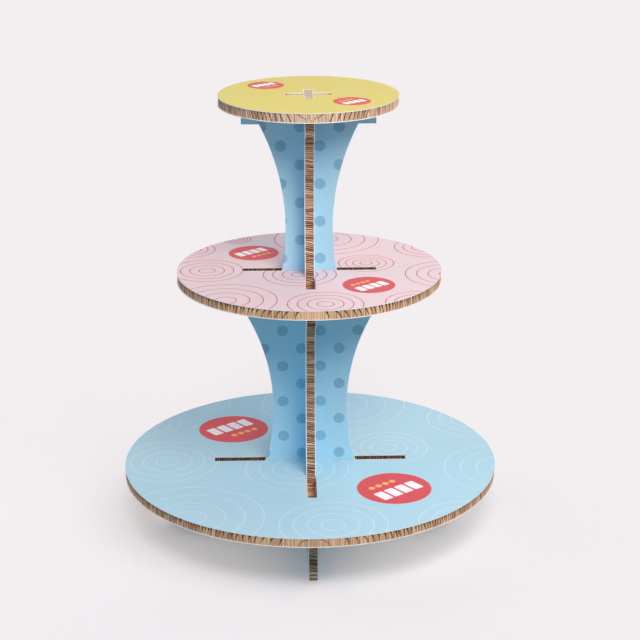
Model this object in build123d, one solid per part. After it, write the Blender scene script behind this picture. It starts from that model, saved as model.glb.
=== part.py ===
from build123d import *

import os

# Three-tier display stand, cut from thick board with a fluted core between two paper liners.
# Two full-height panels slot into each other crosswise. Three round trays drop over the cross
# from above, and each tray comes to rest on the shoulders of both panels.
# Millimetres, +Z up. The origin is on the floor, under the line where the panels cross.

# Board
board = 10.0  # whole thickness, liner to liner
liner = 0.7  # each paper face
core_setback = 0.4  # at a cut edge the core lies this far behind the liners

# Round trays
base_diameter = 400.0
middle_diameter = 277.0
top_diameter = 184.6

# Heights
stand_height = 473.0  # floor to the top of the top tray
middle_height = 287.0  # floor to the top of the middle tray
foot_height = 61.5  # floor to the underside of the base tray
lower_arm_depth = 20.0  # the arms that carry the middle tray
upper_arm_depth = 20.0  # the arms that carry the top tray

# Widths of a panel
foot_span = 300.0
lower_neck_width = 103.0  # lower column where it leaves the foot
lower_waist_width = 78.4
lower_arm_span = 205.0
lower_arm_tip = 24.4  # straight underside at each end of a lower arm
upper_neck_width = 61.6  # upper column where it leaves the lower arms
upper_waist_width = 48.8
upper_arm_span = 138.0
upper_arm_tip = 18.3
tab_span = 44.0  # tabs that stand flush in the top tray

# Heights of the waists over the shoulder below them
lower_waist_rise = 72.0
upper_waist_rise = 55.6

# Fits
slot_clearance = 0.4  # a slot's width over the board
slot_end_clearance = 1.0  # a tray's slot past each end of what goes through it
halving_clearance = 0.5  # between the ends of the two halving slots
halving_share = 0.5  # where the halving slots meet, over the whole height
overrun = 2.0  # how far a cutting shape passes the edge that it opens

# Levels
middle_seat = middle_height - board
top_seat = stand_height - board
halving_level = stand_height * halving_share
slot_width = board + slot_clearance


def sheet(outline):
    """Board cut to an outline, lying on XY. The outline takes an inset, so that the core can stop
    short of the liners at every cut edge."""
    face = outline(0)
    lower_liner = extrude(face, liner)
    core = Pos(0, 0, liner) * extrude(outline(core_setback), board - 2 * liner)
    upper_liner = Pos(0, 0, board - liner) * extrude(face, liner)
    return lower_liner + core + upper_liner


def tray(diameter, passing_span):
    """Round tray with a cross slot that lets both panels through, up to a given span."""

    def outline(inset):
        length = passing_span + 2 * (slot_end_clearance + inset)
        width = slot_width + 2 * inset
        return Circle(diameter / 2 - inset) - Rectangle(length, width) - Rectangle(width, length)

    return sheet(outline)


def half_panel(inset):
    """Right half of a panel: foot, waisted lower column, arms, waisted upper column, arms and tab."""
    foot = foot_span / 2 - inset
    foot_top = foot_height - inset
    lower_arm = lower_arm_span / 2 - inset
    lower_arm_top = middle_seat - inset
    lower_arm_under = middle_seat - lower_arm_depth + inset
    upper_arm = upper_arm_span / 2 - inset
    upper_arm_top = top_seat - inset
    upper_arm_under = top_seat - upper_arm_depth + inset
    tab = tab_span / 2 - inset
    tab_top = stand_height - inset

    lower_neck = (lower_neck_width / 2 - inset, foot_top)
    lower_waist = (lower_waist_width / 2 - inset, foot_height + lower_waist_rise)
    lower_armpit = (lower_arm - lower_arm_tip, lower_arm_under)
    upper_neck = (upper_neck_width / 2 - inset, lower_arm_top)
    upper_waist = (upper_waist_width / 2 - inset, middle_seat + upper_waist_rise)
    upper_armpit = (upper_arm - upper_arm_tip, upper_arm_under)

    edges = [
        Polyline((0, tab_top), (0, inset), (foot, inset), (foot, foot_top), lower_neck),
        ThreePointArc(lower_neck, lower_waist, lower_armpit),
        Polyline(lower_armpit, (lower_arm, lower_arm_under), (lower_arm, lower_arm_top), upper_neck),
        ThreePointArc(upper_neck, upper_waist, upper_armpit),
        Polyline(upper_armpit, (upper_arm, upper_arm_under), (upper_arm, upper_arm_top), (tab, upper_arm_top)),
        Polyline((tab, upper_arm_top), (tab, tab_top), (0, tab_top)),
    ]
    return make_face(Curve() + edges)


def panel(slot_bottom, slot_top):
    """Upright panel in the XZ plane, with a halving slot between two levels."""

    def outline(inset):
        right = half_panel(inset)
        slot_height = slot_top - slot_bottom + 2 * inset
        slot = Rectangle(slot_width + 2 * inset, slot_height, align=(Align.CENTER, Align.MIN))
        return right + mirror(right, about=Plane.YZ) - Pos(0, slot_bottom - inset) * slot

    return Plane.XZ.offset(-board / 2) * sheet(outline)


facing_slot_bottom = halving_level - halving_clearance / 2
crossing_slot_top = halving_level + halving_clearance / 2

pieces = {
    "facing_panel": panel(facing_slot_bottom, stand_height + overrun),
    "crossing_panel": Rot(0, 0, 90) * panel(-overrun, crossing_slot_top),
    "base_tray": Pos(0, 0, foot_height) * tray(base_diameter, lower_arm_span),
    "middle_tray": Pos(0, 0, middle_seat) * tray(middle_diameter, upper_arm_span),
    "top_tray": Pos(0, 0, top_seat) * tray(top_diameter, tab_span),
}

os.makedirs("parts", exist_ok=True)
for name, piece in pieces.items():
    export_step(piece, f"parts/{name}.step")
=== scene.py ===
import math
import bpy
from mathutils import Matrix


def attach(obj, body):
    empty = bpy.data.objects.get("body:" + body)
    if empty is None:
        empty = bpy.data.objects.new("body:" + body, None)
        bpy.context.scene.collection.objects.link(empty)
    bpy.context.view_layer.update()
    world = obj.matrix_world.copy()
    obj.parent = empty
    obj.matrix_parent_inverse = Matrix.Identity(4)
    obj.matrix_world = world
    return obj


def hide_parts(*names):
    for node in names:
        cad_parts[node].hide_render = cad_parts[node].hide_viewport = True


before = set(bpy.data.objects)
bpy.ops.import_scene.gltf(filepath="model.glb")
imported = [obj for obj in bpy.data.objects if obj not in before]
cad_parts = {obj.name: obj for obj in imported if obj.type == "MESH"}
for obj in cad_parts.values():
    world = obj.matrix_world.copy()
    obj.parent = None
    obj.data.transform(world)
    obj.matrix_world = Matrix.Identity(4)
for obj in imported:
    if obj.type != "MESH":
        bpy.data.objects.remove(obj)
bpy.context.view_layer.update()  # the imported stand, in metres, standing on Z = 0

from types import SimpleNamespace

import bpy
import numpy as np
from mathutils import Matrix, Vector
from mathutils.geometry import tessellate_polygon

MM = 0.001
UP = 2  # the frame's axis Z

# Boards
# Each board has its own right-handed directions, two in its face and one through its thickness, given as
# axes of the frame. The core's sheets stand on edge between the liners, stacked along the axis "stack".
BOARD_AXES = {
    "facing_panel": SimpleNamespace(face=(2, 0), through=1, stack=2),
    "crossing_panel": SimpleNamespace(face=(1, 2), through=0, stack=2),
    "base_tray": SimpleNamespace(face=(0, 1), through=2, stack=1),
    "middle_tray": SimpleNamespace(face=(0, 1), through=2, stack=1),
    "top_tray": SimpleNamespace(face=(0, 1), through=2, stack=1),
}
PANEL_WIDTH_AXES = {"facing_panel": "X", "crossing_panel": "Y"}
# The core's sheets lean over, as a slope through the thickness that wanders a little. A bow above 1 keeps
# the lean to the part near the printed face. The gaps between sheets take up shares of a pitch, and their
# colour is painted shade. On the trays they widen into notches at the printed face, and slots cut along the
# sheets get painted shade throughout.
PANEL_CORE = {
    "wander": 0.15,
    "bow": 1,
    "notch": 0.0,
    "slot_shade": 0.0,
    "gap_shares": (0.28, 0.62),
    "flute_shares": (0.20, 0.50),
}
TRAY_CORE = {
    "wander": 0.04,
    "slot_shade": 0.6,
    "gap_shares": (0.22, 0.46),
    "flute_shares": (0.60, 0.92),
}
CORES = {
    "facing_panel": SimpleNamespace(lean=0.08, **PANEL_CORE),
    "crossing_panel": SimpleNamespace(lean=-0.12, **PANEL_CORE),
    "base_tray": SimpleNamespace(lean=-0.10, bow=1.5, notch=0.8, **TRAY_CORE),
    "middle_tray": SimpleNamespace(lean=-0.10, bow=1.5, notch=0.8, **TRAY_CORE),
    "top_tray": SimpleNamespace(lean=0.19, bow=1, notch=0.25, **TRAY_CORE),
}

# Reading the boards
MERGE_DIGITS = 6  # corners of the mesh that agree to this many decimals of a metre are one point
LEVEL_DIGITS = 5  # the same for the levels of faces and the corners of outlines
SAME = 0.01 * MM  # lengths that differ by less are equal
CIRCLE_POINTS = 720

# Stack of sheets in the core
SHEET_PITCH = 2.1 * MM  # one sheet to the next
FLUTE_PITCH = 2.2 * MM  # open flutes where a cut runs along a sheet
FIRST_GAP = 2.6 * MM  # from the outermost point of a board to its first gap
SPARE_SHEETS = 4  # carried on past each end of a board
BUNDLE = 3  # sheets in a row that are alike in tone
FIRST_SEED = 11  # of the random draws, and one more for each board
PITCH_JITTER_SHARE = 0.2
LEAN_JITTER = 0.09  # greatest slope of one gap against the others
GAP_REACH = 0.62 * MM  # greatest half width of a gap along a cut edge, before a notch widens it
GAP_DEPTHS = (0.8 * MM, 1.5 * MM)
GAP_FLATNESS = 1.6  # a gap is a plain arch at 1, and has a flat floor above that
CLOSED_GAP = 1e-9  # half width in metres that stands for none
FLUTE_STEEPNESS = 2.0  # lets a flute be wider than a gap
PLAIN_WIDTH = 1.0
NOTCH_FOOT_SHARE = 0.2  # width of a notch at the plain face, in shares of its plain width
NOTCH_RISE_SHARE = 2.4  # what it gains by the printed face
MIDWAY_SHARE = 0.5  # through the thickness
# Waves in which the lean wanders along a board: the length for each radian, and the first angle
SLOW_WAVE = (23 * MM, 0)
BEAT_WAVE = (9.1 * MM, 1)
QUICK_WAVE = (5.3 * MM, 2)
SLOW_WAVE_SHARE = 0.6

# Points along the cut edges
CORE_ROWS = 8  # rings of points through the thickness
BACK_RINGS = 2  # rings behind them, one at each liner
ACROSS_STEP = 0.3 * MM  # greatest step across sheets or flutes
ALONG_STEP = 0.4 * MM  # greatest step along an edge that crosses the sheets
HIDDEN_STEP = 4.0 * MM  # step where one panel hides the edge of the other
HIDDEN_REACH = 7 * MM  # such an edge lies this near to the middle of its panel
CROSSING_SHARE = 0.5  # a run that goes across by more than this share of its length crosses the sheets
PARALLEL_SHARE = 0.05  # one that goes across by less than this runs along them
CORNER_TURN = math.radians(20)  # least turn of a corner
CORNER_EASE = 1.0 * MM  # the relief dies out this far from a corner
EDGE_STRIP = 2.6 * MM  # how deep the modelled rim of the core is
TAB_EDGE = 1 * MM  # a panel's edge is pale this far from its top
LOOKS = ("gap", "tone", "along", "pale")  # what the material reads from each point

# Flat maps of a liner, in shares of the map
PRINTED_MAP_SHARES = (0.05, 0.94)  # where its outer face starts, and its size
HIDDEN_MAP_SHARES = (0.97, 0.02)  # its inner face, in the corner that no outer face reaches
LINER_EDGE_SHARES = (0.01, 0.03)  # where its cut edge starts and ends
OUTER_SLOT, PAPER_SLOT = 0, 1  # its materials
# Flat maps of a core's edges, in strips that lie one over the other
BAKE_STRIPS = 12
STRIP_LENGTH_SHARE = 1.001  # of an even split, so that rounding never needs one strip more
STRIP_MARGIN_SHARE = 0.02  # this one and those below are shares of a strip's height
STRIP_FRONT_SHARE = 0.8
STRIP_BACK_SHARES = (0.85, 0.9, 0.95)

# Print on the trays, in shares of a tray's radius: centre, first ring, step to the next ring
RING_SHARES = (
    ((-0.773, -0.022), 0.061, 0.070),
    ((-0.618, -0.741), 0.078, 0.098),
    ((-0.074, -0.143), 0.061, 0.071),
    ((0.100, -0.846), 0.061, 0.0705),
    ((1.046, -0.166), 0.073, 0.085),
    ((0.437, 0.132), 0.046, 0.055),
    ((0.152, 0.790), 0.090, 0.108),
    ((0.940, 0.534), 0.058, 0.067),
    ((-0.934, 0.532), 0.042, 0.0545),
    ((-0.565, 0.805), 0.030, 0.028),
    ((0.778, -0.829), 0.055, 0.0645),
)
RINGS_EACH = 4
RING_LINE_SHARE = 0.0072
RING_SOFT_SHARE = RING_LINE_SHARE / 10
BADGE_SHARES = ((0.431, -0.412), (-0.424, 0.426))
BADGE_RADIUS_SHARE = 0.195
TOP_BADGE_SHARES = ((0.464, -0.399), (-0.470, 0.485))
TOP_BADGE_RADIUS_SHARE = 0.207
# Rows on a badge, in shares of its radius: middle, pitch, half width, half height and rounded corner
BADGE_TURN = math.radians(38)
BLOCK_SHARES = ((0.0, -0.18), 0.36, 0.145, 0.25, 0.05)
DOT_SHARES = ((-0.10, 0.38), 0.24, 0.09, 0.09, 0.088)
ROW_COUNT = 4
BADGE_SOFT_SHARE = 0.012
ROW_END_SOFT_SHARE = 0.005

# Print on the panels
DOT_SPACING = 40 * MM
DOT_RADIUS = 5.9 * MM
DOT_ORIGIN = (11.2 * MM, 20.1 * MM)  # across the panel and up
DOT_SHIFT_SHARES = (0.0, 0.5)  # two square grids of dots, the second between the first
DOT_SOFT_SHARE = 0.006  # of the spacing

# Finish of the paper
PAPER_FIBRE = {"scale": 2400.0, "detail": 4.0}
PAPER_CLOUD = {"scale": 34.0, "detail": 3.0}
MOTTLE_SPREAD = 0.05  # how far the fibre and the clouds each vary the colour
PRINT_ROUGHNESS = 0.58
PLAIN_ROUGHNESS = 0.7
ROUGHNESS_SPREAD = 0.12
PAPER_SPECULAR = 0.3
PAPER_BUMP = 0.12
FIBRE_HEIGHT = 0.1 * MM

# Finish of the core, whose tone goes from plain at 0 to palest at 1
CORE_FIBRE = {"scale": 1500.0, "detail": 4.0}
CORE_PATCH = {"scale": 70.0, "detail": 2.0}
FINE_LINE = 1.8 * MM  # size of the fine lines along a sheet
LINE_DETAIL = 2.0
LINE_SHIFT = 40.0  # metres along the pattern of lines from the darkest sheet to the palest
SHEET_SPREAD = 0.9  # how far the sheets, patches, lines and fibre each vary the tone
PATCH_SPREAD = 0.3
PATCH_MIDDLE = 0.05
LINE_SPREAD = 3.4
FIBRE_SPREAD = 0.5
# Painted shade: how far the gaps between sheets go towards their dark colour
GAP_SHADE_SHARE = 0.95
TAB_COLOUR_SHARE = 0.7
CORE_ROUGHNESS = 0.9
CORE_SPECULAR = 0.15
CORE_BUMP = 0.3


def srgb(red, green, blue):
    """A colour given as it looks on screen, 0 to 255, as the linear colour that shaders use, by the curve
    of the sRGB standard."""
    shares = [c / 255 for c in (red, green, blue)]
    return [c / 12.92 if c <= 0.04045 else ((c + 0.055) / 1.055) ** 2.4 for c in shares]


# Colours
BACKGROUND = srgb(243, 238, 240)
PAPER_WHITE = srgb(248, 243, 236)
BADGE_WHITE = srgb(250, 240, 240)
BADGE_YELLOW = srgb(250, 176, 96)
PANEL_BLUE = srgb(174, 217, 233)
DOT_BLUE = srgb(138, 186, 207)
BASE_BLUE = srgb(173, 210, 221)
BASE_RING = srgb(202, 218, 229)
BASE_RED = srgb(214, 73, 79)
MIDDLE_PINK = srgb(223, 203, 203)
MIDDLE_RING = srgb(196, 66, 100)
MIDDLE_RED = srgb(206, 78, 82)
TOP_YELLOW = srgb(208, 194, 98)
TOP_RING = srgb(205, 198, 152)
TOP_RED = srgb(198, 84, 77)
TAB_PALE = srgb(192, 184, 164)
# Core: its palest sheet edges, its plain ones, and the painted shade in the gaps between sheets
TRAY_KRAFT = (srgb(243, 198, 157), srgb(178, 132, 98), srgb(79, 50, 34))
TOP_KRAFT = (srgb(243, 208, 175), srgb(181, 142, 112), srgb(84, 58, 44))
PANEL_KRAFT = (srgb(243, 197, 162), srgb(164, 121, 93), srgb(54, 34, 25))

# Studio
# Directions are in degrees to the viewer's right of straight in front, then up. A level of 1 is the light
# at which a colour shows as it is written, on a surface that faces the lamp.
FLOOR_SIZE = 30.0
FLOOR_BOUNCE = (0.26, 0.30, 0.31)  # how much light the floor throws back at the stand
ROOM_LIGHT = 0.05
NEUTRAL = (1.0, 1.0, 1.0)
COOL = (0.15, 0.60, 1.0)
WARM = (1.035, 0.90, 0.85)
WARM_FILL = (1.0, 0.60, 0.55)
WARM_SHADE = (1.10, 1.0, 0.90)
KEY_AIM = Vector((0, 0, 0.40))
KEY_AZIMUTH, KEY_ELEVATION = 24, 40
KEY_DISTANCE = 1.9
KEY_SIZE = 1.15
KEY_LEVEL = 0.95
# Far lamps: direction, degrees of spread, level and colour. The floor has lamps of its own, shaded by some
# of the boards: the base tray and the panels, or the panels alone.
STAND_LAMPS = {
    "left_front": (-65, 15, 60, 0.42, COOL),
    "right_front": (65, 15, 60, 0.40, COOL),
    "left_fill": (-110, 20, 70, 0.36, WARM_FILL),
    "right_fill": (135, 45, 80, 0.43, NEUTRAL),
}
FLOOR_LAMPS = {
    "floor_front": (0, 50, 20, 0.29, NEUTRAL),
    "floor_right": (40, 50, 40, 0.24, NEUTRAL),
    "floor_left": (-110, 35, 40, 0.07, NEUTRAL),
}
FLOOR_FILLS = {
    "floor_back_fill": (180, 50, 60, 0.30, WARM_SHADE),
    "floor_right_fill": (120, 60, 60, 0.19, WARM_SHADE),
    "floor_left_fill": (-60, 50, 60, 0.15, WARM_SHADE),
}
LAMP_SHADE = ("base_tray", "facing_panel", "crossing_panel")
FILL_SHADE = ("facing_panel", "crossing_panel")

# Camera, at the photograph's viewing angle
IMAGE_SIZE = 640  # pixels
FOCAL_PIXELS = 1808.99
SENSOR = 36.0  # in the camera's own millimetres
NEAREST, FARTHEST = 0.05, 60.0  # metres between which it sees
EYE = (-0.0334, -1.8114, 0.8535)
YAW = math.radians(1.408)
PITCH = math.radians(18.988)
ROLL = math.radians(0.167)


# Reading the boards from the frame
def boundary_loops(points, triangles):
    """Closed loops of points round a patch of triangles."""
    after = {}
    seen = set()
    for a, b, c in triangles:
        seen.update(((a, b), (b, c), (c, a)))
    for a, b in seen:
        if (b, a) not in seen:
            after[a] = b
    loops = []
    while after:
        start, point = after.popitem()
        loop = [start]
        while point != start:
            loop.append(point)
            point = after.pop(point)
        loops.append(points[loop])
    return loops


def signed_area(loop):
    """Area inside a loop, above 0 where it runs anticlockwise."""
    x, y = loop.T
    return float(np.sum(x * np.roll(y, -1) - np.roll(x, -1) * y)) / 2


def wound(loops):
    """Outer loop first, anticlockwise, then the holes, clockwise. A round outer loop gets closer points, on
    the circle that just fits inside the facets of the CAD mesh."""
    loops = sorted(loops, key=lambda loop: -abs(signed_area(loop)))
    turned = []
    for i, loop in enumerate(loops):
        if (signed_area(loop) > 0) != (i == 0):
            loop = loop[::-1]
        reach = np.hypot(*loop.T)
        if i == 0 and np.ptp(reach) < SAME:
            angle = np.linspace(0, 2 * math.pi, CIRCLE_POINTS, endpoint=False)
            radius = reach.max() * math.cos(math.pi / len(loop))
            loop = radius * np.column_stack((np.cos(angle), np.sin(angle)))
        turned.append(loop)
    return turned


def read_board(node):
    """Outlines of a board's liners and of its core, and the levels of their faces, from the CAD mesh."""
    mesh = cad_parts[node].data
    mesh.calc_loop_triangles()
    corners = np.empty(len(mesh.vertices) * 3, np.float32)
    mesh.vertices.foreach_get("co", corners)
    triangles = np.empty(len(mesh.loop_triangles) * 3, np.int32)
    mesh.loop_triangles.foreach_get("vertices", triangles)
    points, number = np.unique(corners.reshape(-1, 3).round(MERGE_DIGITS), axis=0, return_inverse=True)
    triangles = number.reshape(-1)[triangles.reshape(-1, 3)]

    lie = BOARD_AXES[node]
    through = points[:, lie.through]
    levels = np.unique(through.round(LEVEL_DIGITS))
    flat = points[:, list(lie.face)]

    def loops_at(level):
        on_level = (abs(through[triangles] - level) < SAME).all(axis=1)
        return boundary_loops(flat, triangles[on_level].tolist())

    faces = loops_at(levels[-1])
    outline = {tuple(p.round(LEVEL_DIGITS)) for loop in faces for p in loop}
    cores = [loop for loop in loops_at(levels[1]) if tuple(loop[0].round(LEVEL_DIGITS)) not in outline]
    return SimpleNamespace(node=node, lie=lie, levels=levels, faces=wound(faces), cores=wound(cores))


def in_frame(board, flat, level):
    """Points in a board's face, at a level through its thickness, as points in the frame."""
    placed = np.empty((len(flat), 3))
    placed[:, list(board.lie.face)] = flat
    placed[:, board.lie.through] = level
    return placed


def new_object(name, data):
    made = bpy.data.objects.new(name, data)
    bpy.context.scene.collection.objects.link(made)
    return made


def new_piece(name, node, points, faces, slots, materials, uv):
    """A mesh piece that stands for a CAD board, with a material slot for each face and a flat map."""
    mesh = bpy.data.meshes.new(name)
    mesh.from_pydata(points.tolist(), [], faces)
    mesh.polygons.foreach_set("material_index", slots)
    layer = mesh.uv_layers.new(name="OFBake")
    layer.uv.foreach_set("vector", np.asarray(uv, np.float32).ravel())
    for material in materials:
        mesh.materials.append(material)
    piece = new_object(name, mesh)
    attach(piece, "root")
    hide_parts(node)
    return piece


# Liners
def liner(board, side, name, face_material, paper):
    """One paper face of a board as a thin closed sheet, side 1 for the far face and -1 for the near one."""
    loops = board.faces
    outer = board.levels[-1] if side > 0 else board.levels[0]
    inner = board.levels[-2] if side > 0 else board.levels[1]
    flat = np.concatenate(loops)
    count = len(flat)
    points = np.concatenate((in_frame(board, flat, outer), in_frame(board, flat, inner)))
    triangles = tessellate_polygon([[Vector((*p, 0)) for p in loop] for loop in loops])

    low = flat.min(axis=0)
    size = float((flat.max(axis=0) - low).max())
    maps = (PRINTED_MAP_SHARES, HIDDEN_MAP_SHARES)
    printed, hidden = [start + share * (flat - low) / size for start, share in maps]
    edge_low, edge_high = LINER_EDGE_SHARES

    faces, slots, uv = [], [], []
    for a, b, c in triangles:
        front = (a, b, c) if signed_area(flat[[a, b, c]]) * side > 0 else (a, c, b)
        faces.append(front)
        uv.extend(printed[list(front)])
        slots.append(OUTER_SLOT)
        faces.append(tuple(count + i for i in reversed(front)))
        uv.extend(hidden[list(reversed(front))])
        slots.append(PAPER_SLOT)
    first = 0
    for loop in loops:
        n = len(loop)
        for i in range(n):
            a, b = first + i, first + (i + 1) % n
            quad = (a, count + a, count + b, b)
            along, upto = i / n, (i + 1) / n
            corners = [(along, edge_high), (along, edge_low), (upto, edge_low), (upto, edge_high)]
            if side < 0:
                quad, corners = quad[::-1], corners[::-1]
            faces.append(quad)
            uv.extend(corners)
            slots.append(PAPER_SLOT)
        first += n
    return new_piece(name, board.node, points, faces, slots, (face_material, paper), uv)


# Core
def edge_samples(loop, across, is_rim, upright):
    """Points along a cut edge, close enough for the relief that the edge shows. Each has an outward
    direction, its distance along the loop and to the nearest corner, how steeply the edge crosses the
    sheets there, and marks for a run along the sheets and for a hidden stretch."""
    step = np.roll(loop, -1, axis=0) - loop
    length = np.hypot(*step.T)
    direction = step / length[:, None]
    turn = np.arccos(np.clip(np.sum(direction * np.roll(direction, 1, axis=0), axis=1), -1, 1))
    corner = turn > CORNER_TURN
    normal = np.column_stack((direction[:, 1], -direction[:, 0]))
    before = np.roll(normal, 1, axis=0)
    mitre = (normal + before) / (1 + np.sum(normal * before, axis=1))[:, None]
    start = np.concatenate(([0], np.cumsum(length)))

    parts = SimpleNamespace(place=[], outward=[], run=[], steep=[], parallel=[], hidden=[])
    for i in range(len(loop)):
        after = (i + 1) % len(loop)
        steepness = abs(direction[i, across])
        aside = abs((loop[i] + step[i] / 2)[1 - across])
        hidden = not is_rim and upright and steepness > CROSSING_SHARE and aside < HIDDEN_REACH
        parallel = not is_rim and steepness < PARALLEL_SHARE
        if hidden:
            count = length[i] / HIDDEN_STEP
        elif parallel:
            count = length[i] / ACROSS_STEP
        else:
            count = max(steepness * length[i] / ACROSS_STEP, length[i] / ALONG_STEP)
        count = max(1, math.ceil(count))
        share = (np.arange(count) / count)[:, None]
        if corner[i] or corner[after]:
            outward = np.repeat(normal[i][None, :], count, axis=0)
            outward[0] = mitre[i]
        else:
            outward = mitre[i] * (1 - share) + mitre[after] * share
        parts.place.append(loop[i] + share * step[i])
        parts.outward.append(outward)
        parts.run.append(start[i] + share[:, 0] * length[i])
        parts.steep.append(np.full(count, steepness))
        parts.parallel.append(np.full(count, parallel))
        parts.hidden.append(np.full(count, hidden))
    samples = SimpleNamespace(**{key: np.concatenate(value) for key, value in vars(parts).items()})
    samples.length = start[-1]
    corners = start[:-1][corner]
    corners = np.concatenate((corners, corners - samples.length, corners + samples.length, [math.inf]))
    samples.corner = np.min(abs(samples.run[:, None] - corners[None, :]), axis=1)
    return samples


def sheet_stack(low, high, pitch, gap_shares, rng):
    """Uneven stack of sheets or flutes: the place, half width, depth and slant of each gap, and a tone."""
    count = int((high - low) / pitch) + 2 * SPARE_SHEETS
    place = low + FIRST_GAP + (np.arange(count) - SPARE_SHEETS) * pitch
    bundles = np.repeat(rng.uniform(0, 1, count // BUNDLE + 1), BUNDLE)[:count]
    return SimpleNamespace(
        place=place + rng.uniform(-1, 1, count) * PITCH_JITTER_SHARE * pitch,
        half=rng.uniform(*gap_shares, count) * pitch / 2,
        depth=rng.uniform(*GAP_DEPTHS, count),
        slant=rng.uniform(-1, 1, count) * LEAN_JITTER,
        tone=(rng.uniform(0, 1, count) + bundles) / 2,
    )


def stack_relief(stack, place, through, steep, width):
    """How open and how deep a cut edge is at a place in the stack, and the tone of the sheet there."""
    below = np.clip(np.searchsorted(stack.place, place) - 1, 0, len(stack.place) - 2)
    opening = np.zeros(len(place))
    depth = np.zeros(len(place))
    for which in (below, below + 1):
        middle = stack.place[which] + stack.slant[which] * through
        half = np.minimum(stack.half[which], GAP_REACH * steep) * width + CLOSED_GAP
        gap = np.clip(GAP_FLATNESS * (1 - (abs(place - middle) / half) ** 2), 0, 1)
        depth = np.maximum(depth, gap * stack.depth[which])
        opening = np.maximum(opening, gap)
    return SimpleNamespace(opening=opening, depth=depth, tone=stack.tone[below])


def notch_width(notch, share):
    """Width of a gap at a share of the way to the far liner, against its plain width."""
    return 1 - notch + notch * (NOTCH_FOOT_SHARE + NOTCH_RISE_SHARE * share**2)


def wandering(place):
    """Slow, uneven waves between -1 and 1 along a board."""
    waves = (SLOW_WAVE, BEAT_WAVE, QUICK_WAVE)
    slow, beat, quick = [np.sin(place / size + start) for size, start in waves]
    return SLOW_WAVE_SHARE * slow * beat + (1 - SLOW_WAVE_SHARE) * quick


def band_rings(board, band, across, sheets, flutes, pale_above):
    """Rings of points round one cut edge, each with the looks of its points: the rows through the
    thickness, with the sheets in relief, and then the rings behind them."""
    core = CORES[board.node]
    rows = np.linspace(board.levels[1], board.levels[-2], CORE_ROWS)
    thickness = np.ptp(rows)
    stacked, along = band.place[:, across], band.place[:, 1 - across]
    ease = np.where(band.hidden, 0, np.clip(band.corner / CORNER_EASE, 0, 1) ** 2)
    lean = core.lean + core.wander * wandering(stacked)
    pale = (stacked > pale_above).astype(float)
    rings = []
    for row in rows:
        through = row - rows.mean()
        share = through / thickness + MIDWAY_SHARE
        width = notch_width(core.notch, share)
        place = stacked - lean * thickness * (share**core.bow - MIDWAY_SHARE)
        sheet = stack_relief(sheets, place, through, band.steep, width)
        flute = stack_relief(flutes, along, through, FLUTE_STEEPNESS, PLAIN_WIDTH)
        depth = np.where(band.parallel, flute.depth, sheet.depth) * ease
        # Painted shade: on walls cut along the sheets the gap shade is at least the core's slot_shade
        gap = np.where(band.parallel, np.maximum(flute.opening, core.slot_shade), sheet.opening)
        tone = np.where(band.parallel, flute.tone, sheet.tone)
        points = in_frame(board, band.place - band.outward * depth[:, None], row)
        rings.append((points, dict(zip(LOOKS, (gap, tone, along, pale)))))
    for row in (rows[-1], rows[0]):
        points = in_frame(board, band.place - band.outward * EDGE_STRIP, row)
        rings.append((points, dict.fromkeys(LOOKS, np.zeros(len(points)))))
    return rings


def band_faces(first, count, run):
    """Faces that join the rings of one cut edge, and their corners on the map. The run says where along the
    strips of the map each point lies, in strips."""
    rings = CORE_ROWS + BACK_RINGS
    heights = np.linspace(0, STRIP_FRONT_SHARE, CORE_ROWS).tolist() + list(STRIP_BACK_SHARES)
    faces, uv = [], []
    for i in range(count):
        j = (i + 1) % count
        strip = int(run[i])
        left, right = run[i] - strip, min(1.0, run[i + 1] - strip)
        for ring in range(rings):
            a, b = first + ring * count, first + (ring + 1) % rings * count
            faces.append((a + i, a + j, b + j, b + i))
            bottom = (strip + STRIP_MARGIN_SHARE + heights[ring]) / BAKE_STRIPS
            top = (strip + STRIP_MARGIN_SHARE + heights[ring + 1]) / BAKE_STRIPS
            uv.extend(((left, bottom), (right, bottom), (right, top), (left, top)))
    return faces, uv


def core_edge(board, name, material, seed):
    """Rim of a board's fluted core: closed bands that follow every cut edge, with the sheets in relief."""
    across = board.lie.face.index(board.lie.stack)
    is_tray = board.lie.through == UP
    core = CORES[board.node]
    flat = np.concatenate(board.cores)
    low, high = flat.min(axis=0), flat.max(axis=0)
    rng = np.random.default_rng(seed)
    sheets = sheet_stack(low[across], high[across], SHEET_PITCH, core.gap_shares, rng)
    flutes = sheet_stack(low[1 - across], high[1 - across], FLUTE_PITCH, core.flute_shares, rng)
    pale_above = math.inf if is_tray else high[across] - TAB_EDGE

    bands = []
    for i, loop in enumerate(board.cores):
        bands.append(edge_samples(loop, across, is_tray and i == 0, not is_tray))
    strip_length = sum(band.length for band in bands) / BAKE_STRIPS * STRIP_LENGTH_SHARE
    points, faces, uv = [], [], []
    looks = {attribute: [] for attribute in LOOKS}
    first, laid = 0, 0.0
    for band in bands:
        for ring, ring_looks in band_rings(board, band, across, sheets, flutes, pale_above):
            points.append(ring)
            for attribute, values in ring_looks.items():
                looks[attribute].append(values)
        run = (np.append(band.run, band.length) + laid) / strip_length
        count = len(band.place)
        band_quads, band_uv = band_faces(first, count, run)
        faces += band_quads
        uv += band_uv
        first += (CORE_ROWS + BACK_RINGS) * count
        laid += band.length

    piece = new_piece(name, board.node, np.concatenate(points), faces, [0] * len(faces), (material,), uv)
    for attribute, values in looks.items():
        layer = piece.data.attributes.new(attribute, "FLOAT", "POINT")
        layer.data.foreach_set("value", np.concatenate(values).astype(np.float32))
    return piece


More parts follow.
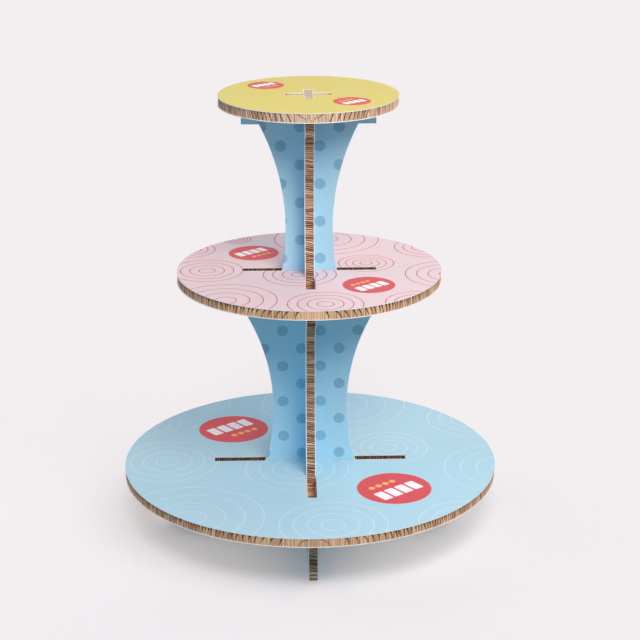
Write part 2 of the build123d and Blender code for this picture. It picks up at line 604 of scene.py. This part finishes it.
# Materials
class Nodes:
    """Short ways to add nodes to a material or node group."""

    def __init__(self, tree):
        self.tree = tree

    def add(self, kind, **settings):
        node = self.tree.nodes.new(kind)
        for key, value in settings.items():
            setattr(node, key, value)
        return node

    def feed(self, socket, value):
        if isinstance(value, bpy.types.NodeSocket):
            self.tree.links.new(value, socket)
        else:
            socket.default_value = value

    def math(self, operation, *values, clamp=False):
        node = self.add("ShaderNodeMath", operation=operation, use_clamp=clamp)
        for socket, value in zip(node.inputs, values):
            self.feed(socket, value)
        return node.outputs[0]

    def spread(self, value, width, middle):
        """A value between 0 and 1, spread over a width about a middle."""
        return self.math("MULTIPLY_ADD", value, width, middle - width / 2)

    def vector(self, operation, *values):
        node = self.add("ShaderNodeVectorMath", operation=operation)
        for socket, value in zip(node.inputs, values):
            self.feed(socket, value)
        return node.outputs["Value" if operation in ("DISTANCE", "LENGTH") else "Vector"]

    def mix(self, share, first, second):
        node = self.add("ShaderNodeMix", data_type="RGBA")
        self.feed(node.inputs["Factor"], share)
        for socket, value in zip((s for s in node.inputs if s.type == "RGBA"), (first, second)):
            self.feed(socket, value if isinstance(value, bpy.types.NodeSocket) else (*value, 1.0))
        return next(s for s in node.outputs if s.type == "RGBA")

    def noise(self, place, scale, detail):
        node = self.add("ShaderNodeTexNoise")
        self.feed(node.inputs["Vector"], place)
        self.feed(node.inputs["Scale"], scale)
        self.feed(node.inputs["Detail"], detail)
        return node.outputs["Fac"]

    def below(self, value, edge, soft):
        """1 where a value lies below an edge, falling to 0 over a soft width."""
        node = self.add("ShaderNodeMapRange", interpolation_type="SMOOTHSTEP")
        self.feed(node.inputs["Value"], value)
        self.feed(node.inputs["From Min"], edge - soft)
        self.feed(node.inputs["From Max"], edge + soft)
        self.feed(node.inputs["To Min"], 1.0)
        self.feed(node.inputs["To Max"], 0.0)
        return node.outputs["Result"]

    def place(self):
        return self.add("ShaderNodeTexCoord").outputs["Object"]

    def split(self, vector):
        node = self.add("ShaderNodeSeparateXYZ")
        self.feed(node.inputs[0], vector)
        return node.outputs

    def join(self, x, y, z=0.0):
        node = self.add("ShaderNodeCombineXYZ")
        for socket, value in zip(node.inputs, (x, y, z)):
            self.feed(socket, value)
        return node.outputs[0]

    def bump(self, shader, height, strength):
        """Fine relief on a shader's surface, from a height between 0 and 1."""
        node = self.add("ShaderNodeBump")
        node.inputs["Strength"].default_value = strength
        node.inputs["Distance"].default_value = FIBRE_HEIGHT
        self.feed(node.inputs["Height"], height)
        self.feed(shader.inputs["Normal"], node.outputs["Normal"])


def new_material(name):
    """A material, the way to its nodes, and its shader."""
    material = bpy.data.materials.new(name)
    material.use_nodes = True
    nodes = Nodes(material.node_tree)
    return material, nodes, material.node_tree.nodes["Principled BSDF"]


def paper_finish(nodes, shader, colour, roughness):
    """Matt coated paper: faint mottling of the colour, fibre bump and uneven sheen."""
    place = nodes.place()
    fibre = nodes.noise(place, **PAPER_FIBRE)
    cloud = nodes.noise(place, **PAPER_CLOUD)
    mottle = [nodes.spread(pattern, MOTTLE_SPREAD, 1.0) for pattern in (fibre, cloud)]
    tinted = nodes.add("ShaderNodeVectorMath", operation="SCALE")
    nodes.feed(tinted.inputs[0], colour)
    nodes.feed(tinted.inputs["Scale"], nodes.math("MULTIPLY", *mottle))
    nodes.feed(shader.inputs["Base Color"], tinted.outputs[0])
    nodes.feed(shader.inputs["Roughness"], nodes.spread(cloud, ROUGHNESS_SPREAD, roughness))
    shader.inputs["Specular IOR Level"].default_value = PAPER_SPECULAR
    nodes.bump(shader, fibre, PAPER_BUMP)


def white_paper():
    """Plain white liner, and the cut edges of every liner."""
    material, nodes, shader = new_material("white_liner")
    paper_finish(nodes, shader, PAPER_WHITE, PLAIN_ROUGHNESS)
    return material


def ring_cluster():
    """Node group: the distance from a point to the nearest of a few evenly stepped rings."""
    group = bpy.data.node_groups.new("ring_cluster", "ShaderNodeTree")
    for name, kind in (("Place", "Vector"), ("Centre", "Vector"), ("First", "Float"), ("Step", "Float")):
        group.interface.new_socket(name, in_out="INPUT", socket_type=f"NodeSocket{kind}")
    group.interface.new_socket("Distance", in_out="OUTPUT", socket_type="NodeSocketFloat")
    nodes = Nodes(group)
    entry = nodes.add("NodeGroupInput").outputs
    out = nodes.vector("DISTANCE", entry["Place"], entry["Centre"])
    ring = nodes.math("DIVIDE", nodes.math("SUBTRACT", out, entry["First"]), entry["Step"])
    ring = nodes.math("MAXIMUM", nodes.math("ROUND", ring), 0.0)
    ring = nodes.math("MINIMUM", ring, RINGS_EACH - 1)
    radius = nodes.math("MULTIPLY_ADD", ring, entry["Step"], entry["First"])
    off = nodes.math("ABSOLUTE", nodes.math("SUBTRACT", out, radius))
    leave = nodes.add("NodeGroupOutput")
    nodes.feed(leave.inputs["Distance"], off)
    return group


def badge(nodes, colour, place, red, centre, radius, flip):
    """Red roundel with a slanted row of white blocks under a shorter row of yellow dots."""
    offset = nodes.vector("SUBTRACT", place, (*centre, 0.0))
    x, y, _ = nodes.split(offset)
    c, s = math.cos(BADGE_TURN) * flip / radius, math.sin(BADGE_TURN) * flip / radius
    along = nodes.math("ADD", nodes.math("MULTIPLY", x, c), nodes.math("MULTIPLY", y, s))
    over = nodes.math("SUBTRACT", nodes.math("MULTIPLY", y, c), nodes.math("MULTIPLY", x, s))
    reach = nodes.vector("LENGTH", nodes.join(along, over))
    colour = nodes.mix(nodes.below(reach, 1.0, BADGE_SOFT_SHARE), colour, red)

    def row(under, tint, middle, pitch, half_width, half_height, rounding):
        """A row of rounded blocks, evenly spaced."""
        shifted = nodes.math("SUBTRACT", along, middle[0])
        turn = nodes.math("FRACT", nodes.math("MULTIPLY_ADD", shifted, 1 / pitch, ROW_COUNT / 2))
        aside = nodes.math("ABSOLUTE", nodes.math("SUBTRACT", turn, 1 / 2))
        beside = nodes.math("MULTIPLY", aside, pitch)
        above = nodes.math("ABSOLUTE", nodes.math("SUBTRACT", over, middle[1]))
        past = [
            nodes.math("MAXIMUM", nodes.math("SUBTRACT", value, half - rounding), 0.0)
            for value, half in ((beside, half_width), (above, half_height))
        ]
        block = nodes.below(nodes.vector("LENGTH", nodes.join(*past)), rounding, BADGE_SOFT_SHARE)
        ends = nodes.below(nodes.math("ABSOLUTE", shifted), pitch * ROW_COUNT / 2, ROW_END_SOFT_SHARE)
        return nodes.mix(nodes.math("MULTIPLY", block, ends), under, tint)

    colour = row(colour, BADGE_WHITE, *BLOCK_SHARES)
    return row(colour, BADGE_YELLOW, *DOT_SHARES)


def tray_print(name, radius, field, ring_colour, red, badges, badge_radius_share):
    """Printed face of a tray: clusters of fine rings and two round badges on a plain field."""
    material, nodes, shader = new_material(name)
    x, y, _ = nodes.split(nodes.place())
    place = nodes.join(nodes.math("DIVIDE", x, radius), nodes.math("DIVIDE", y, radius))
    group = bpy.data.node_groups.get("ring_cluster") or ring_cluster()
    nearest = 1.0
    for centre, first, step in RING_SHARES:
        cluster = nodes.add("ShaderNodeGroup", node_tree=group)
        nodes.feed(cluster.inputs["Place"], place)
        cluster.inputs["Centre"].default_value = (*centre, 0.0)
        cluster.inputs["First"].default_value = first
        cluster.inputs["Step"].default_value = step
        nearest = nodes.math("MINIMUM", cluster.outputs["Distance"], nearest)
    line = nodes.below(nearest, RING_LINE_SHARE / 2, RING_SOFT_SHARE)
    colour = nodes.mix(line, field, ring_colour)
    for centre, flip in zip(badges, (1, -1)):
        colour = badge(nodes, colour, place, red, centre, badge_radius_share, flip)
    paper_finish(nodes, shader, colour, PRINT_ROUGHNESS)
    return material


def panel_print(name, across):
    """Printed face of a panel: staggered round dots on a plain field."""
    material, nodes, shader = new_material(name)
    parts = nodes.split(nodes.place())
    column, height = parts[across], parts["Z"]
    nearest = 1.0
    for shift in DOT_SHIFT_SHARES:
        cell = []
        for value, origin in zip((column, height), DOT_ORIGIN):
            turn = nodes.math("MULTIPLY_ADD", value, 1 / DOT_SPACING, 1 / 2 - shift - origin / DOT_SPACING)
            cell.append(nodes.math("SUBTRACT", nodes.math("FRACT", turn), 1 / 2))
        nearest = nodes.math("MINIMUM", nodes.vector("LENGTH", nodes.join(*cell)), nearest)
    dot = nodes.below(nearest, DOT_RADIUS / DOT_SPACING, DOT_SOFT_SHARE)
    colour = nodes.mix(dot, PANEL_BLUE, DOT_BLUE)
    paper_finish(nodes, shader, colour, PRINT_ROUGHNESS)
    return material


def kraft_core(name, palest, plain, gap_shade):
    """Cut edges of the brown core: sheet edges in uneven tones with fine lines, and painted shade in the
    gaps.
    """
    material, nodes, shader = new_material(name)

    def look(attribute):
        return nodes.add("ShaderNodeAttribute", attribute_name=attribute).outputs["Fac"]

    place = nodes.place()
    fibre = nodes.noise(place, **CORE_FIBRE)
    patch = nodes.noise(place, **CORE_PATCH)
    lines = nodes.add("ShaderNodeTexNoise", noise_dimensions="1D")
    nodes.feed(lines.inputs["W"], nodes.math("MULTIPLY_ADD", look("tone"), LINE_SHIFT, look("along")))
    lines.inputs["Scale"].default_value = 1 / FINE_LINE
    lines.inputs["Detail"].default_value = LINE_DETAIL
    patches = nodes.spread(patch, PATCH_SPREAD, PATCH_MIDDLE)
    tone = nodes.math("MULTIPLY_ADD", look("tone"), SHEET_SPREAD, patches)
    tone = nodes.math("ADD", tone, nodes.spread(lines.outputs["Fac"], LINE_SPREAD, 0.0))
    tone = nodes.math("ADD", tone, nodes.spread(fibre, FIBRE_SPREAD, 0.0), clamp=True)
    colour = nodes.mix(tone, plain, palest)
    # Painted shade: the gaps between sheets are darkened towards the gap colour, on top of their modelled
    # depth
    colour = nodes.mix(nodes.math("MULTIPLY", look("gap"), GAP_SHADE_SHARE), colour, gap_shade)
    colour = nodes.mix(nodes.math("MULTIPLY", look("pale"), TAB_COLOUR_SHARE), colour, TAB_PALE)
    nodes.feed(shader.inputs["Base Color"], colour)
    shader.inputs["Roughness"].default_value = CORE_ROUGHNESS
    shader.inputs["Specular IOR Level"].default_value = CORE_SPECULAR
    nodes.bump(shader, fibre, CORE_BUMP)
    return material


# The stand
def dress_boards():
    """Two liners and a core's edges for each board. Returns all the pieces."""
    paper = white_paper()
    tray_core = kraft_core("tray_core", *TRAY_KRAFT)
    tray_cores = {
        "base_tray": tray_core,
        "middle_tray": tray_core,
        "top_tray": kraft_core("top_tray_core", *TOP_KRAFT),
    }
    panel_core = kraft_core("panel_core", *PANEL_KRAFT)
    boards = {node: read_board(node) for node in BOARD_AXES}
    tray_looks = {
        "base_tray": (BASE_BLUE, BASE_RING, BASE_RED, BADGE_SHARES, BADGE_RADIUS_SHARE),
        "middle_tray": (MIDDLE_PINK, MIDDLE_RING, MIDDLE_RED, BADGE_SHARES, BADGE_RADIUS_SHARE),
        "top_tray": (TOP_YELLOW, TOP_RING, TOP_RED, TOP_BADGE_SHARES, TOP_BADGE_RADIUS_SHARE),
    }
    made = []
    for seed, (node, board) in enumerate(boards.items(), FIRST_SEED):
        if node in tray_looks:
            radius = float(np.hypot(*board.faces[0].T).max())
            printed = tray_print(f"{node}_print", radius, *tray_looks[node])
            pieces = [
                liner(board, 1, f"{node}_printed_face", printed, paper),
                liner(board, -1, f"{node}_plain_face", paper, paper),
                core_edge(board, f"{node}_core_edges", tray_cores[node], seed),
            ]
        else:
            printed = panel_print(f"{node}_print", PANEL_WIDTH_AXES[node])
            pieces = [
                liner(board, 1, f"{node}_far_face", printed, paper),
                liner(board, -1, f"{node}_near_face", printed, paper),
                core_edge(board, f"{node}_core_edges", panel_core, seed),
            ]
        made += pieces
    return made


# Studio
def in_view(nodes):
    """1 where the camera looks, straight or by way of gloss or glass, and 0 where light only bounces."""
    path = nodes.add("ShaderNodeLightPath").outputs
    looked_at = nodes.math("MAXIMUM", path["Is Camera Ray"], path["Is Glossy Ray"])
    return nodes.math("MAXIMUM", looked_at, path["Is Transmission Ray"])


def floor_plane():
    """Pale floor, in the colour that shows as the background under all its lamps."""
    mesh = bpy.data.meshes.new("floor")
    half = FLOOR_SIZE / 2
    corners = [(-half, -half, 0), (half, -half, 0), (half, half, 0), (-half, half, 0)]
    mesh.from_pydata(corners, [], [(0, 1, 2, 3)])
    floor = new_object("floor", mesh)
    material, nodes, shader = new_material("floor")
    light = np.full(3, ROOM_LIGHT)
    for _, elevation, _, level, tint in (FLOOR_LAMPS | FLOOR_FILLS).values():
        light += np.multiply(tint, level * math.sin(math.radians(elevation)))
    nodes.feed(shader.inputs["Base Color"], nodes.mix(in_view(nodes), FLOOR_BOUNCE, BACKGROUND / light))
    shader.inputs["Roughness"].default_value = 1.0
    shader.inputs["Specular IOR Level"].default_value = 0.0
    mesh.materials.append(material)
    return floor


def room():
    """Plain room with a little light of its own."""
    world = bpy.data.worlds.new("studio")
    world.use_nodes = True
    nodes = Nodes(world.node_tree)
    background = world.node_tree.nodes["Background"]
    nodes.feed(background.inputs["Color"], nodes.mix(in_view(nodes), [ROOM_LIGHT] * 3, BACKGROUND))
    background.inputs["Strength"].default_value = 1.0
    return world


def add_lamp(name, kind, falls_on, shaded_by, azimuth, elevation, level, colour):
    """A lamp for one group of objects, shaded by another group, or by everything where that is None."""
    lamp = bpy.data.lights.new(name, kind)
    light = new_object(name, lamp)
    turn, rise = math.radians(azimuth), math.radians(elevation)
    towards = Vector((math.cos(rise) * math.sin(turn), -math.cos(rise) * math.cos(turn), math.sin(rise)))
    light.rotation_euler = towards.to_track_quat("Z", "Y").to_euler()
    light.light_linking.receiver_collection = falls_on
    light.light_linking.blocker_collection = shaded_by
    # Only rays aimed at a lamp pass the boards that don't shade it
    lamp.cycles.use_multiple_importance_sampling = shaded_by is None
    lamp.color = colour
    # A far lamp's strength is in watts a square metre, and that of an area lamp in watts
    lamp.energy = level * math.pi
    if kind == "AREA":
        light.location = KEY_AIM + towards * KEY_DISTANCE
        lamp.shape = "DISK"
        lamp.size = KEY_SIZE
        lamp.energy = level * (math.pi * KEY_DISTANCE) ** 2
    return lamp


def collect(name, members):
    """A group of objects that a lamp can be set to light or to be shaded by."""
    collection = bpy.data.collections.new(name)
    for member in members:
        collection.objects.link(member)
    return collection


def studio(pieces):
    """Floor, room and lamps round the stand's pieces."""
    scene = bpy.context.scene
    scene.view_settings.view_transform = "Standard"
    scene.world = room()
    stand = collect("stand", pieces)
    floor = collect("floor", [floor_plane()])
    lamp_shade = collect("lamp_shade", [piece for piece in pieces if piece.name.startswith(LAMP_SHADE)])
    fill_shade = collect("fill_shade", [piece for piece in pieces if piece.name.startswith(FILL_SHADE)])

    add_lamp("key", "AREA", stand, None, KEY_AZIMUTH, KEY_ELEVATION, KEY_LEVEL, WARM)
    far_lamps = (
        (stand, None, STAND_LAMPS),
        (floor, lamp_shade, FLOOR_LAMPS),
        (floor, fill_shade, FLOOR_FILLS),
    )
    for target, shaded_by, lamps in far_lamps:
        for name, (azimuth, elevation, spread, level, colour) in lamps.items():
            lamp = add_lamp(name, "SUN", target, shaded_by, azimuth, elevation, level, colour)
            lamp.angle = math.radians(spread)


def camera():
    """Pinhole camera at the eye, turned by its yaw, pitch and roll."""
    lens = bpy.data.cameras.new("camera")
    lens.sensor_fit = "HORIZONTAL"
    lens.sensor_width = SENSOR
    lens.lens = FOCAL_PIXELS * SENSOR / IMAGE_SIZE
    lens.clip_start = NEAREST
    lens.clip_end = FARTHEST
    eye = new_object("camera", lens)
    forward = Vector((math.sin(YAW) * math.cos(PITCH), math.cos(YAW) * math.cos(PITCH), -math.sin(PITCH)))
    right = Vector((math.cos(YAW), -math.sin(YAW), 0))
    down = forward.cross(right)
    turned_right = math.cos(ROLL) * right + math.sin(ROLL) * down
    turned_down = math.cos(ROLL) * down - math.sin(ROLL) * right
    turn = Matrix((turned_right, -turned_down, -forward)).transposed()
    eye.matrix_world = Matrix.Translation(EYE) @ turn.to_4x4()
    bpy.context.scene.camera = eye


studio(dress_boards())
camera()

bpy.context.view_layer.update()
